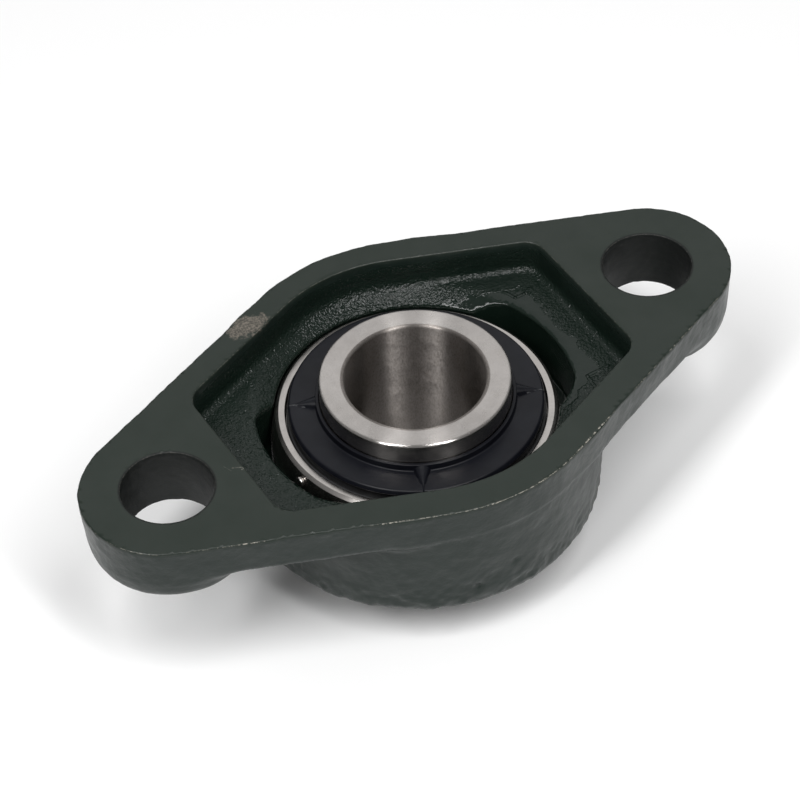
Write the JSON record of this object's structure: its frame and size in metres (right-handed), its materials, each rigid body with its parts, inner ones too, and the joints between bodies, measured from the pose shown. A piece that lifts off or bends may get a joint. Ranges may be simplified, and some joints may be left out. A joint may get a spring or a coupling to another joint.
{
  "type": "two-bolt flange bearing unit",
  "caption": "Rhombic cast flange housing with a self-aligning ball bearing insert, bolt holes at both ends, set screws and a grease nipple.",
  "frame": {"origin": "on the shaft axis, in the plane of the inner ring's long end on which the unit stands", "axes": "+Z along the shaft axis towards the mounting face, +X along the line of the two bolt holes"},
  "size_m": [0.1292, 0.0695, 0.0351],
  "materials": {
    "housing_paint": "dark green enamel over rough cast iron",
    "bearing_steel": "ground, fine concentric lines",
    "slinger_coat": "blue-black coated pressed sheet, satin",
    "pressed_steel": "bright pressed sheet",
    "seal_rubber": "matt",
    "screw_steel": "black oxide",
    "nipple_plate": "yellow zinc plate"
  },
  "bodies": {
    "housing": {"housing": "housing_paint", "grease_nipple": "nipple_plate", "grease_nipple_spring": "bearing_steel"},
    "nipple_check": {"grease_nipple_ball": "bearing_steel"},
    "stop_pin": {"stopper_pin": "bearing_steel"},
    "outer": {"outer_ring": "bearing_steel", "seal_insert_back": "seal_rubber", "seal_insert_front": "seal_rubber", "seal_lip_back": "seal_rubber", "seal_lip_front": "seal_rubber"},
    "inner": {"inner_ring": "bearing_steel", "slinger_back": "slinger_coat", "slinger_front": "slinger_coat"},
    "screw_1": {"set_screw_1": "screw_steel"},
    "screw_2": {"set_screw_2": "screw_steel"},
    "cage": {"cage_back": "pressed_steel", "cage_front": "pressed_steel", "rivet_1": "pressed_steel", "rivet_2": "pressed_steel", "rivet_3": "pressed_steel", "rivet_4": "pressed_steel", "rivet_5": "pressed_steel", "rivet_6": "pressed_steel", "rivet_7": "pressed_steel", "rivet_8": "pressed_steel", "rivet_9": "pressed_steel"},
    "ball_1": {"ball_1": "bearing_steel"},
    "ball_2": {"ball_2": "bearing_steel"},
    "ball_3": {"ball_3": "bearing_steel"},
    "ball_4": {"ball_4": "bearing_steel"},
    "ball_5": {"ball_5": "bearing_steel"},
    "ball_6": {"ball_6": "bearing_steel"},
    "ball_7": {"ball_7": "bearing_steel"},
    "ball_8": {"ball_8": "bearing_steel"},
    "ball_9": {"ball_9": "bearing_steel"}
  },
  "joints": [
    {"name": "align_tilt", "type": "hinge", "parent": "housing", "child": "stop_pin", "pos_m": [0, 0, 0.0192], "axis": [-0.1045, 0.9945, 0], "range_deg": [-3, 3]},
    {"name": "align_roll", "type": "hinge", "parent": "stop_pin", "child": "outer", "pos_m": [0, 0, 0.0192], "axis": [-0.9731, -0.1023, 0.2062], "range_deg": [-3, 3]},
    {"name": "inner_spin", "type": "hinge", "parent": "outer", "child": "inner", "pos_m": [0, 0, 0.0192], "axis": [0, 0, 1], "continuous": true},
    {"name": "cage_spin", "type": "hinge", "parent": "outer", "child": "cage", "pos_m": [0, 0, 0.0192], "axis": [0, 0, 1], "continuous": true},
    {"name": "ball_1_spin", "type": "hinge", "parent": "cage", "child": "ball_1", "pos_m": [0.0195, 0, 0.0192], "axis": [0, 0, 1], "continuous": true},
    {"name": "ball_2_spin", "type": "hinge", "parent": "cage", "child": "ball_2", "pos_m": [0.01494, 0.01253, 0.0192], "axis": [0, 0, 1], "continuous": true},
    {"name": "ball_3_spin", "type": "hinge", "parent": "cage", "child": "ball_3", "pos_m": [0.00339, 0.0192, 0.0192], "axis": [0, 0, 1], "continuous": true},
    {"name": "ball_4_spin", "type": "hinge", "parent": "cage", "child": "ball_4", "pos_m": [-0.00975, 0.01689, 0.0192], "axis": [0, 0, 1], "continuous": true},
    {"name": "ball_5_spin", "type": "hinge", "parent": "cage", "child": "ball_5", "pos_m": [-0.01832, 0.00667, 0.0192], "axis": [0, 0, 1], "continuous": true},
    {"name": "ball_6_spin", "type": "hinge", "parent": "cage", "child": "ball_6", "pos_m": [-0.01832, -0.00667, 0.0192], "axis": [0, 0, 1], "continuous": true},
    {"name": "ball_7_spin", "type": "hinge", "parent": "cage", "child": "ball_7", "pos_m": [-0.00975, -0.01689, 0.0192], "axis": [0, 0, 1], "continuous": true},
    {"name": "ball_8_spin", "type": "hinge", "parent": "cage", "child": "ball_8", "pos_m": [0.00339, -0.0192, 0.0192], "axis": [0, 0, 1], "continuous": true},
    {"name": "ball_9_spin", "type": "hinge", "parent": "cage", "child": "ball_9", "pos_m": [0.01494, -0.01253, 0.0192], "axis": [0, 0, 1], "continuous": true},
    {"name": "screw_1_travel", "type": "slide", "parent": "inner", "child": "screw_1", "axis": [0.866, 0.5, 0], "range_m": [-0.0024, 0.002]},
    {"name": "screw_2_travel", "type": "slide", "parent": "inner", "child": "screw_2", "axis": [-0.866, 0.5, 0], "range_m": [-0.0024, 0.002]},
    {"name": "nipple_check_travel", "type": "slide", "parent": "housing", "child": "nipple_check", "axis": [0, -0.7071, 0.7071], "range_m": [0, 0.0008], "stiffness_N_per_m": 200, "springref_m": -0.001, "deforming": ["grease_nipple_spring"]}
  ],
  "couplings": [
    {"joint": "cage_spin", "follows": "inner_spin", "ratio": 0.39823},
    {"joint": "ball_1_spin", "follows": "inner_spin", "ratio": -2.3548},
    {"joint": "ball_2_spin", "follows": "inner_spin", "ratio": -2.3548},
    {"joint": "ball_3_spin", "follows": "inner_spin", "ratio": -2.3548},
    {"joint": "ball_4_spin", "follows": "inner_spin", "ratio": -2.3548},
    {"joint": "ball_5_spin", "follows": "inner_spin", "ratio": -2.3548},
    {"joint": "ball_6_spin", "follows": "inner_spin", "ratio": -2.3548},
    {"joint": "ball_7_spin", "follows": "inner_spin", "ratio": -2.3548},
    {"joint": "ball_8_spin", "follows": "inner_spin", "ratio": -2.3548},
    {"joint": "ball_9_spin", "follows": "inner_spin", "ratio": -2.3548}
  ]
}
